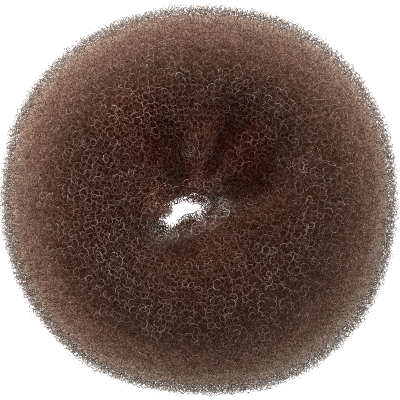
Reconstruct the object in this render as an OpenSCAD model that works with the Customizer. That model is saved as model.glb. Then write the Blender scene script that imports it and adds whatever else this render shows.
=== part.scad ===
// Hair donut bun maker
//
// A sleeve of curly nylon web is rolled on itself into one thick springy ring. Its curls hook
// into each other, so the roll is a single body. The web is drawn in around a narrow slit that
// a ponytail is pulled through, and that gives the gathers in the two faces.
//
// The ring lies on its flattened underside. Its axis is +Z, the slit runs along X, and the
// origin is in the middle of the ring at the bottom.

/* [Ring] */
// Outer diameter of the ring
outer_d = 100; // [80:1:140]
// Height of the ring at its highest crest
ring_h = 40; // [30:1:60]
// Height of the widest part of the outer side
belly_z = 19; // [12:0.5:24]
// Width of the flattened band that the ring lies on
foot_w = 10; // [4:0.5:18]
// How full the roll is towards the slit: 2 is an ellipse, and more is squarer
fullness = 2.5; // [2:0.1:3]

/* [Hole] */
// Length of the slit where it is narrowest
slit_l = 14; // [8:0.5:20]
// Width of the slit where it is narrowest
slit_w = 5.2; // [5:0.1:14]
// Place of the slit along X, measured from the middle of the outline
slit_x = -5; // [-6:0.5:6]
// Place of the slit along Y, measured from the middle of the outline
slit_y = -1.5; // [-6:0.5:6]
// Height at which the hole is narrowest
throat_z = 24; // [10:0.5:28]

/* [Gathers] */
// Depth of the deepest gather
gather_depth = 7.5; // [0:0.5:8]

/* [Hidden] */

// How far the outline and the crest reach, a row for each 30 degrees from +X towards +Y.
// REACH is a share of the outer radius, CREST a share of the ring's height.
REACH = 0;
CREST = 1;
outline = [
    [1.000, 0.985],
    [0.994, 0.975],
    [0.956, 0.985],
    [0.972, 0.995],
    [0.997, 1.000],
    [0.984, 0.990],
    [0.993, 0.980],
    [0.996, 0.985],
    [0.974, 0.995],
    [1.012, 0.990],
    [1.010, 0.975],
    [0.984, 0.980]
];

// The gathers, a row each. ANGLE is the section that the gather follows, and SPREAD is how
// far to either side it has died out. DEPTH is a share of the deepest gather. STARTS, DEEPEST
// and ENDS are turns along the section: 90 is the crest, 180 the slit's edge and 270 the
// middle of the foot. The first rows are in the top face, the others in the underside.
ANGLE = 0;
SPREAD = 1;
DEPTH = 2;
STARTS = 3;
DEEPEST = 4;
ENDS = 5;
gathers = [
    [ 86, 34, 0.72,  80, 122, 168],
    [112, 28, 0.25,  80, 116, 150],
    [ 40, 19, 0.72,  80, 121, 168],
    [347, 36, 0.85,  74, 124, 168],
    [  3, 18, 0.35,  70, 104, 136],
    [ 18, 38, 0.50,  72, 114, 158],
    [ 65, 26, 0.32, 170, 215, 248],
    [150, 22, 0.28, 170, 215, 248],
    [235, 26, 0.32, 170, 215, 248],
    [320, 22, 0.28, 170, 215, 248]
];

// Sections around the ring
ring_steps = 96;
// Points over the top of a section, from its outer side to the slit
arch_steps = 24;
// Points from the slit down to the foot, and from the foot up to the outer side
flank_steps = 6;
// Points across the foot
foot_steps = 2;

// An angle brought into 0 to 360 degrees
function turned(angle) = angle - 360 * floor(angle / 360);

// The angle between two directions
function angle_between(a, b) = min(turned(a - b), turned(b - a));

// A soft hump: 1 at 0, falling to 0 at 1 and beyond
function hump(x) = x >= 1 ? 0 : pow(cos(90 * x), 2);

// A column of the outline table at any angle, on a smooth curve through its rows
function outline_at(column, angle) =
    let (
        rows = len(outline),
        place = turned(angle) * rows / 360,
        row = floor(place),
        t = place - row,
        before = outline[(row + rows - 1) % rows][column],
        from = outline[row % rows][column],
        to = outline[(row + 1) % rows][column],
        after = outline[(row + 2) % rows][column],
        slope_from = (to - before) / 2,
        slope_to = (after - from) / 2
    )
    from + slope_from * t
        + (3 * (to - from) - 2 * slope_from - slope_to) * t * t
        + (2 * (from - to) + slope_from + slope_to) * t * t * t;

// The share of the full depth that one gather has at a turn along the section at an angle
function one_gather(gather, angle, turn) =
    let (
        deepest = gather[DEEPEST],
        run = turn < deepest ? deepest - gather[STARTS] : gather[ENDS] - deepest
    )
    gather[DEPTH]
        * hump(abs(turn - deepest) / run)
        * hump(angle_between(angle, gather[ANGLE]) / gather[SPREAD]);

// The share of the full depth that the gathers leave undrawn, counted from one of them on
function undrawn(angle, turn, i = 0) =
    i == len(gathers) ? 1 : (1 - one_gather(gathers[i], angle, turn)) * undrawn(angle, turn, i + 1);

// How far the gathers draw the web in towards the middle of its section
function drawn_in(angle, turn) = gather_depth * (1 - undrawn(angle, turn));

// How far a section turns from the slit's edge to its foot, and from its foot to the outside
function foot_turn(half_w) = acos(foot_w / 2 / half_w);

// The turns of a section's points: 0 is the outer side, 90 the crest, 180 the slit's edge
// and 270 the middle of the foot
function section_turns(half_w) =
    let (flank = foot_turn(half_w))
    [
        for (i = [0:arch_steps - 1]) 180 * i / arch_steps,
        for (i = [0:flank_steps - 1]) 180 + flank * i / flank_steps,
        for (i = [0:foot_steps - 1]) 180 + flank + (180 - 2 * flank) * i / foot_steps,
        for (i = [0:flank_steps - 1]) 360 - flank + flank * i / flank_steps
    ];

// Height of the widest part of a section, which runs from the belly outside to the throat
function middle_z(turn) = belly_z + (throat_z - belly_z) * (1 - cos(turn)) / 2;

// Height of a point on the lower half of a section, which is flat over the foot
function under_z(turn, half_w) =
    middle_z(turn) * max(0, 1 + sin(turn) / sin(foot_turn(half_w)));

// One section, from a point on the slit's edge out to the outline
function section(angle) =
    let (
        inner = [
            slit_x + slit_l / 2 * cos(angle),
            slit_y + slit_w / 2 * sin(angle)
        ],
        outer = outer_d / 2 * outline_at(REACH, angle) * [cos(angle), sin(angle)],
        crest_z = ring_h * outline_at(CREST, angle),
        middle = (inner + outer) / 2,
        half_w = norm(outer - inner) / 2,
        out = (outer - inner) / norm(outer - inner)
    )
    [
        for (turn = section_turns(half_w))
        let (
            depth = drawn_in(angle, turn),
            power = turn > 90 && turn < 180 ? 2 / fullness : 1,
            reach = (half_w - depth) * sign(cos(turn)) * pow(abs(cos(turn)), power),
            z = turn <= 180
                ? middle_z(turn) + (crest_z - middle_z(turn)) * pow(abs(sin(turn)), power)
                : under_z(turn, half_w)
        )
        [middle.x + reach * out.x, middle.y + reach * out.y, z - depth * sin(turn)]
    ];

sections = [for (i = [0:ring_steps - 1]) section(360 * i / ring_steps)];
section_points = len(sections[0]);
raw_points = [for (one = sections) each one];

// The outline's table is uneven, so its middle is measured
function middle_of(values) = (min(values) + max(values)) / 2;
centre = [
    middle_of([for (p = raw_points) p.x]),
    middle_of([for (p = raw_points) p.y]),
    0
];

// The index of a point, counting on around the ring and around the section
function at(i, j) = (i % ring_steps) * section_points + j % section_points;

module mesh_ring() {
    color("#4a2f27")
        polyhedron(
            points = [for (p = raw_points) p - centre],
            faces = [
                for (i = [0:ring_steps - 1], j = [0:section_points - 1])
                each [
                    [at(i, j), at(i, j + 1), at(i + 1, j + 1)],
                    [at(i, j), at(i + 1, j + 1), at(i + 1, j)]
                ]
            ],
            convexity = 6
        );
}

mesh_ring();
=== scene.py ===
"""Looks of the hair donut bun maker, a thick roll of curly nylon web around a slit.

A dark core fills the roll a few millimetres below its surface, and single curls of nylon
lie around it at several depths. The outermost ones stand free, so the light ground shows
through them at the rim and in the slit.
"""

import math

import bpy
import numpy as np
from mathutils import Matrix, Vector
from mathutils.bvhtree import BVHTree


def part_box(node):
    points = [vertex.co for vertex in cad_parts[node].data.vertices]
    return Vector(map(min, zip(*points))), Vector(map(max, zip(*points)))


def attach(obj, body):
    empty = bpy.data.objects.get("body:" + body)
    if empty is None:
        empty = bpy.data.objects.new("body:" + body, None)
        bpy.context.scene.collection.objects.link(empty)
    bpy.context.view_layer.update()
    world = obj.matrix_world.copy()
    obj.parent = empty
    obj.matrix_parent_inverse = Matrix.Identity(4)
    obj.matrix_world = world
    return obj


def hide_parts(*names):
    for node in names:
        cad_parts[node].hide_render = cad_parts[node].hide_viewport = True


MM = 0.001
NODE = "mesh_ring"

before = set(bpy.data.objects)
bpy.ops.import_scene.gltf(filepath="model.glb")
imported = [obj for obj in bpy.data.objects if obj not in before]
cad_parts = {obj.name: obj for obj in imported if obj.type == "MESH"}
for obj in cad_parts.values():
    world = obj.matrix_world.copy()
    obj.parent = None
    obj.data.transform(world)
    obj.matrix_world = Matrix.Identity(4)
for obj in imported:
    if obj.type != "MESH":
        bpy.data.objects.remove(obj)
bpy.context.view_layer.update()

# The photograph's view: from almost straight above, with the slit rising to the right
VIEW_AZIMUTH = -27
VIEW_ELEVATION = 86
VIEW_DISTANCE = 0.7
# Share of the picture's width that the ring fills, and how far right of its middle it stands
RING_SHARE = 403 / 400
RING_SHIFT = 1.5 / 400

# The lamps' distance from the ring and their width
LIGHT_DISTANCE = 0.8
LIGHT_SIZE = 0.35

# The grid that the ring's surface is read on: sections around it, and points on a section
SECTIONS = 256
SECTION_POINTS = 192
# A circle inside the roll, from which every point of its surface can be seen
ROLL_CENTRE = Vector((-2.4 * MM, -0.5 * MM, 20 * MM))
ROLL_RADIUS = 28 * MM

# The slit's middle, the length of its middle line, and how far loops reach into it
SLIT_CENTRE = Vector((-4.85 * MM, -1.3 * MM, 24 * MM))
SLIT_LENGTH = 8 * MM
SLIT_REACH = 1.65 * MM
# Lumps in that reach: the angle of each around the slit's centre and the spread to either
# side, in degrees, and what it adds
SLIT_LUMPS = [
    (12, 32, 1.1 * MM),
    (63, 24, 1.0 * MM),
    (85, 32, -0.8 * MM),
    (122, 42, -1.6 * MM),
    (160, 24, 1.5 * MM),
    (194, 20, -1.7 * MM),
    (218, 16, 0.5 * MM),
    (262, 50, -0.2 * MM),
    (320, 28, -1.8 * MM),
    (349, 15, -0.9 * MM),
]
# Distances from the slit between which the web changes over to the plain web
SLIT_SPAN = (3 * MM, 8 * MM)

# Depth of the core's surface under the web's, at the ring's outer side and elsewhere
SIDE_DEPTH = 2.4 * MM
CORE_DEPTH = 1.8 * MM
CORE_ROUGHNESS = 0.05 * MM
# The share of the loops' reach into the slit that the core has too
CORE_REACH = 0.8
# The core has a section for so many of the grid's, and a point for so many of a section's
CORE_STEP = 2
# Painted light in the core's colour, for light that comes through the thin web: how much paler
# it is painted at the ring's side, at its rim and around the slit, and the share of the side's that is
# missing on the lower side
SIDE_PAINTED_LIGHT = 0.55
RIM_PAINTED_LIGHT = 0.7
SLIT_PAINTED_LIGHT = 0.65
LOWER_LESS_PAINTED_LIGHT = 0.4

# Each curl: a strand of one turn that comes up out of the web and goes back into it
TURNS = 1.0
SAMPLES = 8
STRAND_SIDES = 3
STRAND_RADIUS = 0.055 * MM
# How much thicker the strands are at the ring's side, where they stand free, and the share of
# their radius that is left at their ends
SIDE_THICK = 0.05
END_THICK = 0.3
# Way that a curl goes on in one turn, and how much its radius grows or shrinks over its length
PITCH = 0.7 * MM
SPIRAL = 0.35
# How much the curls' radii vary
RADIUS_SPREAD = 0.10
# Turns at both ends over which a curl goes down into the web, and how deep
DIVE_TURNS = 0.15
DIVE_DEPTH = 0.5 * MM
# How far the curls' axes lean from the web's normal, in radians, and how much that varies. At
# the ring's side and in the slit they lean further, and rather up or down than to the side.
LEAN = 0.35
LEAN_SPREAD = 0.25
EDGE_LEAN = 1.0
EDGE_RISE = 3.6
# How much tighter the curls are at the ring's side, how much deeper they lie there, how far
# single ones stand out, and how few those are
SIDE_TIGHT = 0.25
SIDE_SINK = 0.1 * MM
SIDE_FRAY = 1.0 * MM
SIDE_FRAY_POWER = 8
# How far a curl is moved from its even place, as a share of the space between them
SCATTER = 0.20
# How many times more the curls of a row are moved out of it at the ring's side
SIDE_SCATTER = 2.0
# The most curls that one piece holds
PIECE_CURLS = 4500
# Shares of the way around a section that lie out of sight, from the hole's wall to the foot,
# how wide the change at their ends is, and the share of the other rows' number that lies there
HIDDEN_SPAN = (0.58, 0.80)
HIDDEN_EDGE = 0.03
HIDDEN_ROWS = 0.35
# The outer side, as shares of the way around a section to either side of the widest point
SIDE_SPAN = (0.10, 0.20)

# The strands' tone, from 0 dark to 1 pale, carrying painted light and shade: at the web's surface, and
# how much it varies at random
TOP_TONE = 0.58
OWN_TONE = 0.09
# Painted shade of the web's depth: the depth over which the tone falls by a factor of e, and how much
# more that is at the ring's side
PAINTED_SHADE_DEPTH = 1.7 * MM
SIDE_LIGHT = 1.0
# The outer side as in SIDE_SPAN, and how much lower the tone is there, as painted shade
OUTER_SPAN = (0.08, 0.30)
OUTER_SHADE = 0.22
# The same at the rim itself, and how much higher the tone is there: painted light, for light that comes
# through the web
RIM_SPAN = (0.045, 0.107)
RIM_TONE = 0.24
# The lower side and the underside, as shares up from the widest point, and how much higher
# the tone is there instead, as painted light
LOWER_SPAN = (-0.42, -0.32, -0.03, 0.055)
LOWER_LIGHT = 0.14
# How much less red the web is at the rim and on the lower side, greyed there as painted light
RIM_LIGHT_GREY = 0.3
# Painted shade on loops that stand free at the rim, dark against the bright ground: how much lower
# their tone is, and how far out that is full
FREE_SHADE = 0.17
FREE_HEIGHT = 0.8 * MM
# Painted light and glints around the slit, over the light table: how much higher the tone is there, and
# how much more it varies
SLIT_LIGHT = 0.02
SLIT_GLINTS = 1.35
# Patches of painted light and shade: the middle of each, its radius, what it adds to the
# strands' tone, painted light above 0 and painted shade below it, and how red it makes the web
LIGHT_SHADE_PATCHES = [
    (-5.5 * MM, 21.5 * MM, 15 * MM, 0.12, 0.6),
    (13.5 * MM, 7.1 * MM, 11 * MM, -0.03, 0.8),
    (1.9 * MM, 4.6 * MM, 7 * MM, -0.08, 0.8),
    (8.1 * MM, 16.8 * MM, 9 * MM, -0.11, 0.1),
    (10.3 * MM, 11.5 * MM, 6 * MM, 0.0, 0.5),
    (-3.8 * MM, 14.2 * MM, 8 * MM, 0.05, 0.6),
    (-20.0 * MM, -39.2 * MM, 20 * MM, -0.06, 0.0),
    (-41.4 * MM, -13.4 * MM, 20 * MM, -0.06, 0.0),
    (11.5 * MM, -8.5 * MM, 14 * MM, -0.22, -0.2),
    (12.5 * MM, -2.2 * MM, 8 * MM, 0.0, 0.5),
    (-10.9 * MM, 4.2 * MM, 7 * MM, 0.0, 0.6),
    (-8.2 * MM, -15.3 * MM, 17 * MM, -0.10, 0.0),
    (-9.0 * MM, -6.0 * MM, 8 * MM, -0.22, -0.3),
    (-8.1 * MM, 6.9 * MM, 7 * MM, 0.12, 0.2),
    (-4.9 * MM, -1.3 * MM, 10 * MM, 0.03, 0.6),
    (-25.9 * MM, 9.0 * MM, 16 * MM, 0.03, 0.2),
]
# The share of a patch's radius within which it is even
PATCH_EVEN = 0.25
# What full redness adds to red, green and blue, as shares of each: redder is painted shade deep in the
# web, less red is painted light
PAINTED_REDNESS = (0.40, -0.10, -0.20)


def direction(azimuth, elevation):
    """The direction from the object to a viewer at these angles, in degrees."""
    a, e = math.radians(azimuth), math.radians(elevation)
    return Vector((math.sin(a) * math.cos(e), -math.cos(a) * math.cos(e), math.sin(e)))


def look_from(obj, target, towards, distance):
    """Places a camera or light at a distance from target, and turns it to look back."""
    obj.location = target + towards * distance
    obj.rotation_euler = (-towards).to_track_quat("-Z", "Y").to_euler()


def link(obj):
    bpy.context.scene.collection.objects.link(obj)
    return obj


# Shader nodes


def add(tree, kind, inputs=(), **settings):
    """Adds a shader node, with its settings, its input values and the links into it."""
    node = tree.nodes.new(kind)
    for key, value in settings.items():
        setattr(node, key, value)
    for key, value in dict(inputs).items():
        if isinstance(value, bpy.types.NodeSocket):
            tree.links.new(value, node.inputs[key])
        else:
            node.inputs[key].default_value = value
    return node


def new_material(name):
    material = bpy.data.materials.new(name)
    material.use_nodes = True
    return material, material.node_tree, material.node_tree.nodes["Principled BSDF"]


# Stage


def make_camera(target, ring_width):
    data = bpy.data.cameras.new("camera")
    data.sensor_width = 36
    data.lens = data.sensor_width * VIEW_DISTANCE * RING_SHARE / ring_width
    data.shift_x = -RING_SHIFT
    camera = link(bpy.data.objects.new("camera", data))
    look_from(camera, target, direction(VIEW_AZIMUTH, VIEW_ELEVATION), VIEW_DISTANCE)
    bpy.context.scene.camera = camera


def make_floor():
    half = 15.0
    mesh = bpy.data.meshes.new("floor")
    mesh.from_pydata(
        [(-half, -half, 0), (half, -half, 0), (half, half, 0), (-half, half, 0)],
        [],
        [(0, 1, 2, 3)],
    )
    floor = link(bpy.data.objects.new("floor", mesh))
    material, tree, shader = new_material("floor_white")
    shader.inputs["Base Color"].default_value = (0.9, 0.9, 0.9, 1)
    shader.inputs["Roughness"].default_value = 0.9
    shader.inputs["Emission Color"].default_value = (1, 1, 1, 1)
    # A light table: brighter a hand's breadth away from the ring, and under its slit
    place = add(tree, "ShaderNodeTexCoord").outputs["Object"]
    distance = add(tree, "ShaderNodeVectorMath", {0: place}, operation="LENGTH").outputs["Value"]
    under = add(
        tree,
        "ShaderNodeMapRange",
        {"Value": distance, "From Min": 0.012, "From Max": 0.02, "To Min": 3.0, "To Max": 1.1},
    )
    around = add(
        tree,
        "ShaderNodeMapRange",
        {"Value": distance, "From Min": 0.065, "From Max": 0.09, "To Min": 0.0, "To Max": 2.9},
    )
    glow = add(tree, "ShaderNodeMath", {0: under.outputs[0], 1: around.outputs[0]}, operation="ADD")
    tree.links.new(glow.outputs[0], shader.inputs["Emission Strength"])
    mesh.materials.append(material)


def make_world():
    """A white tent: bright all around at the height of the table, dimmer overhead."""
    world = bpy.data.worlds.new("tent")
    bpy.context.scene.world = world
    world.use_nodes = True
    tree = world.node_tree
    background = tree.nodes["Background"]
    place = add(tree, "ShaderNodeTexCoord").outputs["Generated"]
    up = add(tree, "ShaderNodeSeparateXYZ", {"Vector": place}).outputs["Z"]
    ramp = add(tree, "ShaderNodeValToRGB", {"Fac": up})
    # It is brighter at the picture's top
    side = add(
        tree,
        "ShaderNodeVectorMath",
        {0: place, 1: direction(VIEW_AZIMUTH + 180, 0)},
        operation="DOT_PRODUCT",
    )
    share = add(
        tree,
        "ShaderNodeMapRange",
        {"Value": side.outputs["Value"], "From Min": -1, "From Max": 1, "To Min": 0.38, "To Max": 1.34},
    )
    tree.links.new(ramp.outputs["Color"], background.inputs["Color"])
    tree.links.new(share.outputs[0], background.inputs["Strength"])
    # Heights in the sky, from 0 at the horizon to 1 overhead, and how bright it is there
    levels = [(0.12, 1.0), (0.25, 0.1), (0.6, 0.1), (0.75, 0.53)]
    while len(ramp.color_ramp.elements) < len(levels):
        ramp.color_ramp.elements.new(0.5)
    for element, (height, level) in zip(ramp.color_ramp.elements, levels):
        element.position = height
        element.color = (level, level, level, 1)


def make_light(name, target, azimuth, elevation, power):
    data = bpy.data.lights.new(name, "AREA")
    data.size = LIGHT_SIZE
    data.energy = power
    light = link(bpy.data.objects.new(name, data))
    look_from(light, target, direction(azimuth, elevation), LIGHT_DISTANCE)


# Materials


def curl_lines(tree, place, scale, offset, width):
    """Thin arcs, 1 along their middle: rings around the points of a cell pattern, broken up."""
    moved = add(tree, "ShaderNodeVectorMath", {0: place, 1: offset}, operation="ADD").outputs[0]
    cells = add(tree, "ShaderNodeTexVoronoi", {"Vector": moved, "Scale": scale})
    centred = add(
        tree, "ShaderNodeMath", {0: cells.outputs["Distance"], 1: 0.42}, operation="SUBTRACT"
    )
    away = add(tree, "ShaderNodeMath", {0: centred.outputs[0]}, operation="ABSOLUTE")
    ring = add(
        tree,
        "ShaderNodeMapRange",
        {"Value": away.outputs[0], "From Min": 0.0, "From Max": width, "To Min": 1.0, "To Max": 0.0},
        interpolation_type="SMOOTHSTEP",
    )
    noise = add(tree, "ShaderNodeTexNoise", {"Vector": moved, "Scale": 1.5 * scale, "Detail": 0.0})
    seen = add(
        tree,
        "ShaderNodeMapRange",
        {"Value": noise.outputs["Fac"], "From Min": 0.35, "From Max": 0.5},
    )
    line = add(
        tree, "ShaderNodeMath", {0: ring.outputs[0], 1: seen.outputs[0]}, operation="MULTIPLY"
    )
    return line.outputs[0]


def painted_reddened(tree, colour):
    """A colour, shifted by the painted redness at each place: redder as painted shade, greyer as
    painted light.
    """
    red = add(tree, "ShaderNodeAttribute", attribute_name="web_painted_redness").outputs["Fac"]
    share = add(
        tree,
        "ShaderNodeVectorMath",
        {0: red, 1: PAINTED_REDNESS, 2: (1.0, 1.0, 1.0)},
        operation="MULTIPLY_ADD",
    ).outputs[0]
    return add(tree, "ShaderNodeVectorMath", {0: colour, 1: share}, operation="MULTIPLY").outputs[0]


def core_material():
    """The depth of the web: the nylon's red-brown darkened as painted shade, with curled strands in it
    that lie at all depths, their lines painted dimmer as shade for the deeper ones.
    """
    material, tree, shader = new_material("web_core")
    place = add(tree, "ShaderNodeTexCoord").outputs["Object"]
    # Lines of three brightnesses, the dimmer ones painted shade for strands that lie deeper
    layers = [
        # scale per metre, offset, half width of a line, what it adds to the colour
        (430, (0.0, 0.0, 0.0), 0.065, (0.045, 0.018, 0.010)),
        (490, (0.3, 0.1, 0.2), 0.065, (0.090, 0.046, 0.031)),
        (570, (0.1, 0.4, 0.3), 0.065, (0.155, 0.098, 0.075)),
    ]
    # The deepest red-brown, between all strands: painted shade of the web's depth
    colour = (0.064, 0.012, 0.005)
    height = 0.0
    for scale, offset, width, tone in layers:
        line = curl_lines(tree, place, scale, offset, width)
        colour = add(
            tree,
            "ShaderNodeVectorMath",
            {0: line, 1: tone, 2: colour},
            operation="MULTIPLY_ADD",
        ).outputs[0]
        height = add(tree, "ShaderNodeMath", {0: line, 1: height}, operation="ADD").outputs[0]
    # Painted light, for light that comes through thin web: lighter and greyer there
    painted_light = add(tree, "ShaderNodeAttribute", attribute_name="web_painted_light").outputs["Fac"]
    colour = add(
        tree,
        "ShaderNodeVectorMath",
        {0: painted_light, 1: (0.118, 0.098, 0.071), 2: colour},
        operation="MULTIPLY_ADD",
    ).outputs[0]
    bump = add(tree, "ShaderNodeBump", {"Height": height, "Distance": 0.25 * MM, "Strength": 0.6})
    tree.links.new(painted_reddened(tree, colour), shader.inputs["Base Color"])
    tree.links.new(bump.outputs["Normal"], shader.inputs["Normal"])
    shader.inputs["Roughness"].default_value = 0.8
    shader.inputs["Specular IOR Level"].default_value = 0.05
    shader.inputs["Sheen Weight"].default_value = 0.9
    shader.inputs["Sheen Roughness"].default_value = 0.4
    shader.inputs["Sheen Tint"].default_value = (0.6, 0.44, 0.36, 1)
    return material


def strand_material():
    material, tree, shader = new_material("nylon_strand")
    tone = add(tree, "ShaderNodeAttribute", attribute_name="strand_tone_light_shade").outputs["Fac"]
    ramp = add(tree, "ShaderNodeValToRGB", {"Fac": tone})
    # From the nylon in painted shade, dark red, to the nylon in painted light, pale grey as a painted
    # highlight
    colours = [
        (0.0, (0.08, 0.014, 0.005, 1)),
        (0.3, (0.178, 0.088, 0.060, 1)),
        (0.6, (0.31, 0.226, 0.192, 1)),
        (1.0, (0.79, 0.73, 0.66, 1)),
    ]
    for _ in range(2):
        ramp.color_ramp.elements.new(0.5)
    for element, (place, colour) in zip(ramp.color_ramp.elements, colours):
        element.position = place
        element.color = colour
    tree.links.new(painted_reddened(tree, ramp.outputs["Color"]), shader.inputs["Base Color"])
    shader.inputs["Roughness"].default_value = 0.5
    shader.inputs["Specular IOR Level"].default_value = 0.08
    return material


# Strands


def unit(vectors):
    return vectors / np.maximum(np.linalg.norm(vectors, axis=-1, keepdims=True), 1e-12)


def new_mesh(name, points, *faces):
    """A smooth mesh object from its points and one or more arrays of faces of equal size."""
    sizes = np.concatenate([np.full(len(some), some.shape[1]) for some in faces])
    mesh = bpy.data.meshes.new(name)
    mesh.vertices.add(len(points))
    mesh.vertices.foreach_set("co", points.ravel())
    mesh.loops.add(int(sizes.sum()))
    corners = np.concatenate([some.ravel() for some in faces])
    mesh.loops.foreach_set("vertex_index", corners.astype(np.int32))
    mesh.polygons.add(len(sizes))
    mesh.polygons.foreach_set("loop_start", (np.cumsum(sizes) - sizes).astype(np.int32))
    mesh.update(calc_edges=True)
    mesh.shade_smooth()
    return link(bpy.data.objects.new(name, mesh))


def surface_grid(ring):
    """Points on the CAD ring, a row for each section and evenly spaced along it, with the
    normals there and the ways to the roll's heart."""
    tree = BVHTree.FromObject(ring, bpy.context.evaluated_depsgraph_get())
    far = high.x - low.x
    grid = np.empty((SECTIONS, SECTION_POINTS, 3))
    inward = np.empty_like(grid)
    for i, u in enumerate(np.linspace(0, math.tau, SECTIONS, endpoint=False)):
        outward = Vector((math.cos(u), math.sin(u), 0))
        heart = ROLL_CENTRE + outward * ROLL_RADIUS
        cast = []
        for v in np.linspace(0, math.tau, SECTION_POINTS, endpoint=False):
            ray = outward * math.cos(v) + Vector((0, 0, math.sin(v)))
            cast.append(tree.ray_cast(heart, ray, far)[0])
        cast = np.array(cast)
        steps = np.linalg.norm(np.roll(cast, -1, 0) - cast, axis=1)
        places = np.concatenate([[0], np.cumsum(steps)])
        even = np.linspace(0, places[-1], SECTION_POINTS, endpoint=False)
        closed = np.vstack([cast, cast[:1]])
        for axis in range(3):
            grid[i, :, axis] = np.interp(even, places, closed[:, axis])
        inward[i] = unit(np.array(heart) - grid[i])
    round_ring = np.roll(grid, -1, 0) - np.roll(grid, 1, 0)
    round_section = np.roll(grid, -1, 1) - np.roll(grid, 1, 1)
    return grid, unit(np.cross(round_ring, round_section)), inward


def on_surface(grid, u, w):
    """Values of a surface grid at shares u of the way around the ring and w of a section."""
    rows, columns = grid.shape[:2]
    i, j = np.mod(u, 1) * rows, np.mod(w, 1) * columns
    i0, j0 = i.astype(int) % rows, j.astype(int) % columns
    s, t = (i - np.floor(i))[..., None], (j - np.floor(j))[..., None]
    i1, j1 = (i0 + 1) % rows, (j0 + 1) % columns
    near = grid[i0, j0] * (1 - t) + grid[i0, j1] * t
    far = grid[i1, j0] * (1 - t) + grid[i1, j1] * t
    return near * (1 - s) + far * s


def fade(values, start, end):
    """0 up to start and 1 from end on, with a smooth step between."""
    t = np.clip((values - start) / (end - start), 0, 1)
    return t * t * (3 - 2 * t)


def thinned(q):
    """Shares of a section that are evenly spaced in q, but wider apart where none is seen."""
    steps = 400
    shares = np.linspace(0, 1, steps + 1)
    start, end = HIDDEN_SPAN
    hidden = fade(shares, start - HIDDEN_EDGE, start + HIDDEN_EDGE)
    hidden = hidden * fade(-shares, -end - HIDDEN_EDGE, -end + HIDDEN_EDGE)
    density = 1 - (1 - HIDDEN_ROWS) * hidden
    summed = np.concatenate([[0], np.cumsum((density[1:] + density[:-1]) / 2)])
    return np.floor(q) + np.interp(np.mod(q, 1), summed / summed[-1], shares)


def from_side(w):
    """How far shares of a section are from the ring's widest point."""
    return np.abs(np.mod(w + 0.5, 1) - 0.5)


def on_lower(w):
    """1 where shares of a section are on the lower side or the underside, and 0 elsewhere."""
    up = np.mod(w + 0.5, 1) - 0.5
    return fade(up, *LOWER_SPAN[:2]) * (1 - fade(up, *LOWER_SPAN[2:]))


def even_places(rng, points, spacing, side_only):
    """Places spread evenly over the surface, as shares (u, w), or over its outer side alone."""
    dense = np.linspace(0, 1, 2 * SECTIONS + 1)
    section = np.linalg.norm(np.roll(points, -1, 1) - points, axis=-1).sum(axis=1).mean()
    if side_only:
        rows = round(2 * SIDE_SPAN[1] * section / spacing)
        shares = ((np.arange(rows) + 0.5) / rows * 2 - 1) * SIDE_SPAN[1]
    else:
        hidden = (HIDDEN_SPAN[1] - HIDDEN_SPAN[0]) * (1 - HIDDEN_ROWS)
        rows = round(section * (1 - hidden) / spacing)
        shares = thinned(np.arange(rows) / rows)
    places = []
    for share in shares:
        path = on_surface(points, dense, share + 0 * dense)
        way = np.linalg.norm(np.diff(path, axis=0), axis=1)
        way = np.concatenate([[0], np.cumsum(way)])
        count = max(1, round(way[-1] / spacing))
        moved = rng.uniform(-SCATTER, SCATTER, (2, count))
        moved[1] *= 1 + SIDE_SCATTER * (1 - fade(from_side(share), *SIDE_SPAN))
        at = (np.arange(count) + rng.random() + moved[0]) / count * way[-1]
        u = np.interp(np.mod(at, way[-1]), way, dense)
        places.append(np.stack([u, share + moved[1] * spacing / section]))
    return np.concatenate(places, axis=1)


def slit_reach(points):
    """How far loops reach beyond the surface into the slit, and how near to it they are."""
    x = points[..., 0] - SLIT_CENTRE.x
    y = points[..., 1] - SLIT_CENTRE.y
    distance = np.hypot(np.maximum(np.abs(x) - SLIT_LENGTH / 2, 0), y)
    near = 1 - fade(distance, *SLIT_SPAN)
    angle = np.arctan2(y, x)
    reach = SLIT_REACH
    for middle, spread, more in SLIT_LUMPS:
        away = np.abs(np.mod(angle - math.radians(middle) + math.pi, math.tau) - math.pi)
        reach = reach + more * (1 - fade(away, 0, math.radians(spread)))
    return near * reach, near


def light_shade_patch_values(points):
    """What the patches of painted light and shade add to the tone at these points, and how red they
    make the web.
    """
    tone = np.zeros(points.shape[:-1])
    red = np.zeros(points.shape[:-1])
    for x, y, radius, patch_light_shade, patch_shade_red in LIGHT_SHADE_PATCHES:
        distance = np.hypot(points[..., 0] - x, points[..., 1] - y)
        share = 1 - fade(distance, PATCH_EVEN * radius, radius)
        tone += share * patch_light_shade
        red += share * patch_shade_red
    return tone, np.clip(red, -1, 1)


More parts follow.
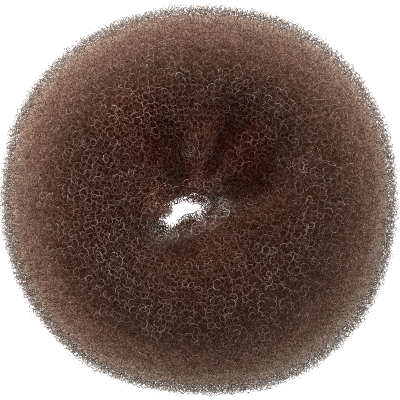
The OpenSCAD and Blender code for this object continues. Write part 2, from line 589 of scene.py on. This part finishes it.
def tones_with_painted_light_and_shade(rng, w, side, near_slit, line, height):
    """The tone and redness of the curls' points, varied at random and with painted light and
    shade: darker the deeper they lie and at the side, paler at the rim and around the slit."""
    side, near_slit, w = side[:, None], near_slit[:, None], w[:, None]
    own = rng.normal(0, 1, w.shape)
    # Painted shade: the tone falls with depth below the web's surface
    shade_depth = PAINTED_SHADE_DEPTH * (1 + SIDE_LIGHT * side)
    tone = TOP_TONE * np.exp(np.minimum(height, 0) / shade_depth) + OWN_TONE * own
    lower = on_lower(w)
    rim_light = (1 - fade(from_side(w), *RIM_SPAN)) * (1 - lower)
    free_shade = side * fade(height, 0, FREE_HEIGHT)
    more, red = light_shade_patch_values(line)
    # Painted shade on the outer side
    tone -= (1 - fade(from_side(w), *OUTER_SPAN)) * OUTER_SHADE
    # Painted light at the rim and on the lower side
    tone += rim_light * RIM_TONE + lower * LOWER_LIGHT
    # Painted light and shade from the patches, less the painted shade of free loops
    tone += more - free_shade * FREE_SHADE
    # Painted light and glints around the slit
    tone += near_slit * (SLIT_LIGHT + SLIT_GLINTS * np.maximum(own, 0))
    # Painted redness: free loops, rim and lower side greyer as painted light, patches redder as painted
    # shade
    red = red - free_shade - (rim_light + lower) * RIM_LIGHT_GREY
    return np.clip(tone, 0, 1), np.clip(red, -1, 1)


def curls(rng, surface, places, depth_range, loop_radius):
    """The middle line of each curl, the axis that it turns about, its radius as a strand, its
    tone and its redness."""
    u, w = places
    count = len(u)
    points, normals, inward = (on_surface(grid, u, w) for grid in surface)
    out = unit(normals)
    down = unit(inward)
    side = 1 - fade(from_side(w), *SIDE_SPAN)
    reach, near_slit = slit_reach(points)
    edge = np.maximum(side, near_slit)
    # Two directions in the web, turned by chance
    chance = rng.normal(0, 1, (count, 3))
    chance[:, 2] += EDGE_RISE * edge
    towards = unit(chance - out * np.sum(chance * out, -1, keepdims=True))
    across = np.cross(out, towards)
    lean = LEAN + EDGE_LEAN * edge + LEAN_SPREAD * rng.normal(0, 1, count)
    axis = out * np.cos(lean)[:, None] + towards * np.sin(lean)[:, None]
    second = np.cross(axis, across)

    depth = rng.uniform(*depth_range, count) - reach
    depth += side * (SIDE_SINK - SIDE_FRAY * rng.random(count) ** SIDE_FRAY_POWER)
    radius = loop_radius * np.exp(RADIUS_SPREAD * rng.normal(0, 1, count))
    sense = rng.choice([-1, 1], count)
    start = rng.uniform(0, math.tau, count)
    spiral = rng.uniform(-SPIRAL, SPIRAL, count)

    turn = np.linspace(-TURNS / 2, TURNS / 2, SAMPLES)
    dive = fade(np.abs(turn), TURNS / 2 - DIVE_TURNS, TURNS / 2) * DIVE_DEPTH
    phase = start[:, None] + math.tau * turn
    radius *= 1 - SIDE_TIGHT * side
    wide = radius[:, None] * (1 + spiral[:, None] * turn / TURNS)
    base = points[:, None, :]
    line = (
        base
        + down[:, None, :] * (depth[:, None] + dive)[..., None]
        + across[:, None, :] * (wide * np.cos(phase))[..., None]
        + second[:, None, :] * (sense[:, None] * wide * np.sin(phase))[..., None]
        + towards[:, None, :] * (PITCH * turn)[None, :, None]
    )
    line[..., 2] = np.maximum(line[..., 2], STRAND_RADIUS)
    height = np.sum((line - base) * out[:, None, :], axis=-1)
    tone, red = tones_with_painted_light_and_shade(rng, w, side, near_slit, line, height)
    thick = STRAND_RADIUS * (1 + SIDE_THICK * side)
    axes = np.broadcast_to(axis[:, None, :], line.shape)
    return line, axes, thick, tone, red


def set_values(piece, name, values):
    attribute = piece.data.attributes.new(name, "FLOAT", "POINT")
    attribute.data.foreach_set("value", values.ravel().astype(np.float32))


def strand_tubes(name, line, axis, thick, tones, reds):
    """One mesh of closed thin tubes along the strands' lines."""
    strands, samples, _ = line.shape
    along = unit(np.gradient(line, axis=1))
    first = unit(axis - along * np.sum(axis * along, -1, keepdims=True))
    second = np.cross(along, first)
    radius = np.repeat(thick[:, None], samples, axis=1)
    radius[:, [0, -1]] *= END_THICK
    rings = []
    for side in range(STRAND_SIDES):
        angle = math.tau * side / STRAND_SIDES
        spoke = first * math.cos(angle) + second * math.sin(angle)
        rings.append(line + spoke * radius[..., None])
    points = np.stack(rings, axis=2).reshape(-1, 3)

    index = np.arange(strands * samples * STRAND_SIDES).reshape(strands, samples, STRAND_SIDES)
    near, far = index[:, :-1], index[:, 1:]
    quads = np.stack(
        [near, np.roll(near, -1, 2), np.roll(far, -1, 2), far], axis=-1
    ).reshape(-1, 4)
    caps = np.concatenate([index[:, 0, ::-1], index[:, -1, :]])
    piece = new_mesh(name, points, quads, caps)
    set_values(piece, "strand_tone_light_shade", np.repeat(tones.ravel(), STRAND_SIDES))
    set_values(piece, "web_painted_redness", np.repeat(reds.ravel(), STRAND_SIDES))
    return piece


def make_core(surface):
    """The dense inside of the web: the ring's sections, drawn in towards the roll's heart."""
    points, _, inward = (grid[::CORE_STEP, ::CORE_STEP] for grid in surface)
    rows, columns = points.shape[:2]
    shares = np.arange(columns) / columns
    side = 1 - fade(from_side(shares), *SIDE_SPAN)
    depth = CORE_DEPTH + (SIDE_DEPTH - CORE_DEPTH) * side
    rough = np.random.default_rng(1).normal(0, CORE_ROUGHNESS, (rows, columns))
    drawn = points + inward * (depth + rough - CORE_REACH * slit_reach(points)[0])[..., None]
    index = np.arange(rows * columns).reshape(rows, columns)
    beyond = np.roll(index, -1, 0)
    quads = np.stack([index, beyond, np.roll(beyond, -1, 1), np.roll(index, -1, 1)], axis=-1)
    core = new_mesh("web_core", drawn.reshape(-1, 3), quads.reshape(-1, 4))
    lower = on_lower(shares)
    outer = (1 - fade(from_side(shares), *OUTER_SPAN)) * (1 - LOWER_LESS_PAINTED_LIGHT * lower)
    rim_light = (1 - fade(from_side(shares), *RIM_SPAN)) * (1 - lower)
    # Painted light for light that comes through the thin web at the outer side, the rim and around the
    # slit
    painted_light = np.maximum(SIDE_PAINTED_LIGHT * outer + RIM_PAINTED_LIGHT * rim_light, SLIT_PAINTED_LIGHT * slit_reach(points)[1])
    set_values(core, "web_painted_light", painted_light)
    # Painted redness: the patches redder as painted shade, the rim and lower side greyer as painted
    # light
    set_values(core, "web_painted_redness", light_shade_patch_values(drawn)[1] - RIM_LIGHT_GREY * (rim_light + lower))
    return core


def make_layer(name, seed, surface, spacing, side_only, depth_range, loop_radius):
    """One layer of curls, in as many pieces as it needs."""
    rng = np.random.default_rng(seed)
    places = even_places(rng, surface[0], spacing, side_only)
    made = curls(rng, surface, places, depth_range, loop_radius)
    parts = math.ceil(len(made[0]) / PIECE_CURLS)
    order = rng.permutation(len(made[0]))
    return [
        strand_tubes(f"{name}_{part + 1}", *(values[chosen] for values in made))
        for part, chosen in enumerate(np.array_split(order, parts))
    ]


# The object

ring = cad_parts[NODE]
low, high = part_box(NODE)
middle = (low + high) / 2

make_camera(middle, high.x - low.x)
make_floor()
make_world()
lights = [
    # name, degrees around from the view, elevation, power in watts
    ("light_top", 180, 9, 10),
    ("light_left", 270, 10, 8.5),
    ("light_right", 90, 10, 3.5),
]
for name, around, elevation, power in lights:
    make_light(name, middle, VIEW_AZIMUTH + around, elevation, power)

surface = surface_grid(ring)
core = make_core(surface)
core.data.materials.append(core_material())
pieces = [core]

nylon = strand_material()
layers = [
    # name, seed, space between curls, at the side alone, depths of the curls, loop radius
    ("curls_outer", 11, 1.45 * MM, False, (0.1 * MM, 0.8 * MM), 0.98 * MM),
    ("curls_middle", 12, 1.46 * MM, False, (0.8 * MM, 1.8 * MM), 0.90 * MM),
    ("curls_inner", 13, 2.4 * MM, True, (1.4 * MM, 2.4 * MM), 0.85 * MM),
]
for layer in layers:
    for piece in make_layer(layer[0], layer[1], surface, *layer[2:]):
        piece.data.materials.append(nylon)
        pieces.append(piece)

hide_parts(NODE)
for piece in pieces:
    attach(piece, "root")

scene = bpy.context.scene
scene.view_settings.view_transform = "Standard"
scene.cycles.use_denoising = False
scene.cycles.filter_width = 1.0
